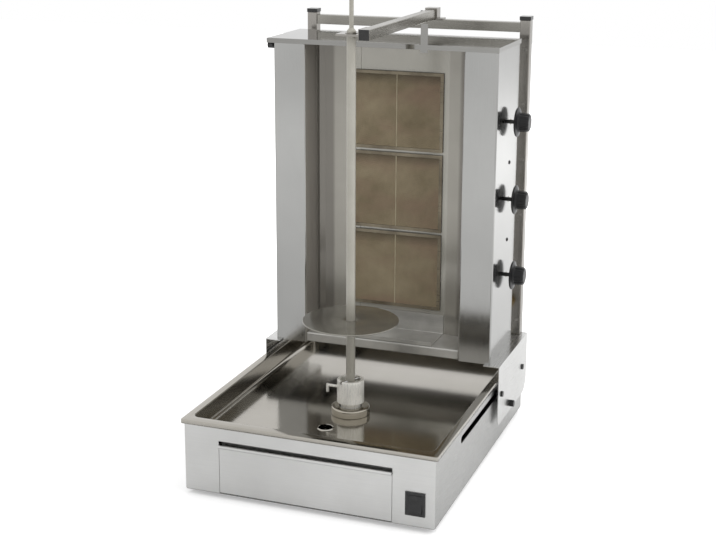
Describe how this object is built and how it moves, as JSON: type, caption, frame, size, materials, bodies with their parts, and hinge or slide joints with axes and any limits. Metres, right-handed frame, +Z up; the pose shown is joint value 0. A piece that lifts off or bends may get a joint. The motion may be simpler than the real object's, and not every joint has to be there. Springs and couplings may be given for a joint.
{
  "type": "gas doner kebab grill",
  "caption": "Upright gas grill on a drip pan base with a drawer, a turning spit with a disc, stacked ceramic burners between two wings, side knobs, rear posts and an arm over the spit.",
  "frame": {"origin": "middle of the base's footprint, on the surface that the feet stand on", "axes": "+Z up along the spit, -Y towards the drawer and the cook, +X towards the control knobs"},
  "size_m": [0.5468, 0.6701, 0.947],
  "materials": {
    "sheet": "satin",
    "pan": "satin",
    "polished": "polished",
    "tube": "satin",
    "black_plastic": "matte",
    "rubber": "matte",
    "motor_paint": "satin",
    "cast": "matte",
    "brass": "satin",
    "pipe": "satin",
    "ceramic": "matte"
  },
  "bodies": {
    "base": {"base_wrap": "sheet", "base_front": "sheet", "base_bottom": "sheet", "feet": "rubber", "drip_pan": "pan", "pan_collar": "pan", "drawer_runners": "sheet", "switch_bezel": "black_plastic", "cable_gland": "black_plastic", "motor_bracket": "sheet", "gear_motor": "motor_paint", "shaft_bearing": "cast"},
    "drawer": {"drawer_front": "sheet", "drawer_tray": "pan"},
    "rocker": {"switch_rocker": "black_plastic"},
    "drive": {"drive_shaft": "polished", "drive_cup": "polished"},
    "cup_lock": {"cup_screw": "polished"},
    "spit": {"spit_rod": "polished", "spit_pin": "polished"},
    "disc": {"meat_disc": "pan"},
    "disc_lock": {"disc_screw": "polished"},
    "tower": {"wing_left": "sheet", "wing_right": "sheet", "tower_floor": "sheet", "foot_shelf": "sheet", "burner_panel": "sheet", "reflector_left": "polished", "reflector_right": "polished", "back_panel": "sheet", "top_cover": "sheet", "burner_body_1": "sheet", "burner_body_2": "sheet", "burner_body_3": "sheet", "ceramic_plaques": "ceramic", "burner_frames": "polished", "gas_valves": "brass", "gas_manifold": "pipe", "gas_inlet": "brass", "side_bracket_left": "sheet", "side_bracket_right": "sheet", "guide_rollers": "polished", "post_left": "tube", "post_right": "tube", "post_caps": "black_plastic", "crossbar": "tube", "arm_clamp": "tube"},
    "cover_lock": {"cover_screw": "black_plastic"},
    "clamp_left": {"clamp_bolt_left": "polished"},
    "clamp_right": {"clamp_bolt_right": "polished"},
    "arm": {"spit_arm": "tube", "arm_plugs": "black_plastic", "arm_bush": "tube"},
    "arm_lock": {"arm_screw": "black_plastic"},
    "stem_1": {"valve_stem_1": "polished"},
    "dial_1": {"knob_1": "black_plastic"},
    "stem_2": {"valve_stem_2": "polished"},
    "dial_2": {"knob_2": "black_plastic"},
    "stem_3": {"valve_stem_3": "polished"},
    "dial_3": {"knob_3": "black_plastic"}
  },
  "joints": [
    {"name": "drawer_slide", "type": "slide", "parent": "base", "child": "drawer", "axis": [0, -1, 0], "range_m": [0, 0.17]},
    {"name": "switch_rock", "type": "hinge", "parent": "base", "child": "rocker", "pos_m": [0.213, -0.322, 0.055], "axis": [1, 0, 0], "range_deg": [0, 14]},
    {"name": "spit_turn", "type": "hinge", "parent": "base", "child": "drive", "pos_m": [0, -0.09, 0.12], "axis": [0, 0, 1], "continuous": true},
    {"name": "cup_screw_turn", "type": "hinge", "parent": "drive", "child": "cup_lock", "pos_m": [-0.03, -0.09, 0.166], "axis": [1, 0, 0], "range_deg": [-90, 90]},
    {"name": "spit_lift", "type": "slide", "parent": "drive", "child": "spit", "axis": [0, 0, 1], "range_m": [0, 0.045]},
    {"name": "disc_height", "type": "slide", "parent": "spit", "child": "disc", "axis": [0, 0, 1], "range_m": [-0.065, 0.45]},
    {"name": "disc_screw_turn", "type": "hinge", "parent": "disc", "child": "disc_lock", "pos_m": [0, -0.07, 0.2975], "axis": [0, 1, 0], "range_deg": [-180, 180]},
    {"name": "tower_slide", "type": "slide", "parent": "base", "child": "tower", "axis": [0, 1, 0], "range_m": [-0.15, 0]},
    {"name": "arm_slide", "type": "slide", "parent": "tower", "child": "arm", "axis": [0, 1, 0], "range_m": [0, 0.15]},
    {"name": "arm_screw_turn", "type": "hinge", "parent": "tower", "child": "arm_lock", "pos_m": [0.018, 0.311, 0.8703], "axis": [1, 0, 0], "range_deg": [-180, 180]},
    {"name": "cover_screw_turn", "type": "hinge", "parent": "tower", "child": "cover_lock", "pos_m": [-0.2375, 0.097, 0.817], "axis": [1, 0, 0], "range_deg": [-180, 180]},
    {"name": "clamp_left_turn", "type": "hinge", "parent": "tower", "child": "clamp_left", "pos_m": [-0.262, 0.18, 0.071], "axis": [1, 0, 0], "range_deg": [-180, 180]},
    {"name": "clamp_right_turn", "type": "hinge", "parent": "tower", "child": "clamp_right", "pos_m": [0.262, 0.18, 0.071], "axis": [1, 0, 0], "range_deg": [-180, 180]},
    {"name": "knob_turn_1", "type": "hinge", "parent": "tower", "child": "stem_1", "pos_m": [0.2375, 0.2, 0.34725], "axis": [1, 0, 0], "range_deg": [0, 180]},
    {"name": "knob_push_1", "type": "slide", "parent": "stem_1", "child": "dial_1", "axis": [-1, 0, 0], "range_m": [0, 0.004], "stiffness_N_per_m": 400},
    {"name": "knob_turn_2", "type": "hinge", "parent": "tower", "child": "stem_2", "pos_m": [0.2375, 0.2, 0.50875], "axis": [1, 0, 0], "range_deg": [0, 180]},
    {"name": "knob_push_2", "type": "slide", "parent": "stem_2", "child": "dial_2", "axis": [-1, 0, 0], "range_m": [0, 0.004], "stiffness_N_per_m": 400},
    {"name": "knob_turn_3", "type": "hinge", "parent": "tower", "child": "stem_3", "pos_m": [0.2375, 0.2, 0.67025], "axis": [1, 0, 0], "range_deg": [0, 180]},
    {"name": "knob_push_3", "type": "slide", "parent": "stem_3", "child": "dial_3", "axis": [-1, 0, 0], "range_m": [0, 0.004], "stiffness_N_per_m": 400}
  ],
  "couplings": [
    {"joint": "arm_slide", "follows": "tower_slide", "ratio": -1}
  ]
}
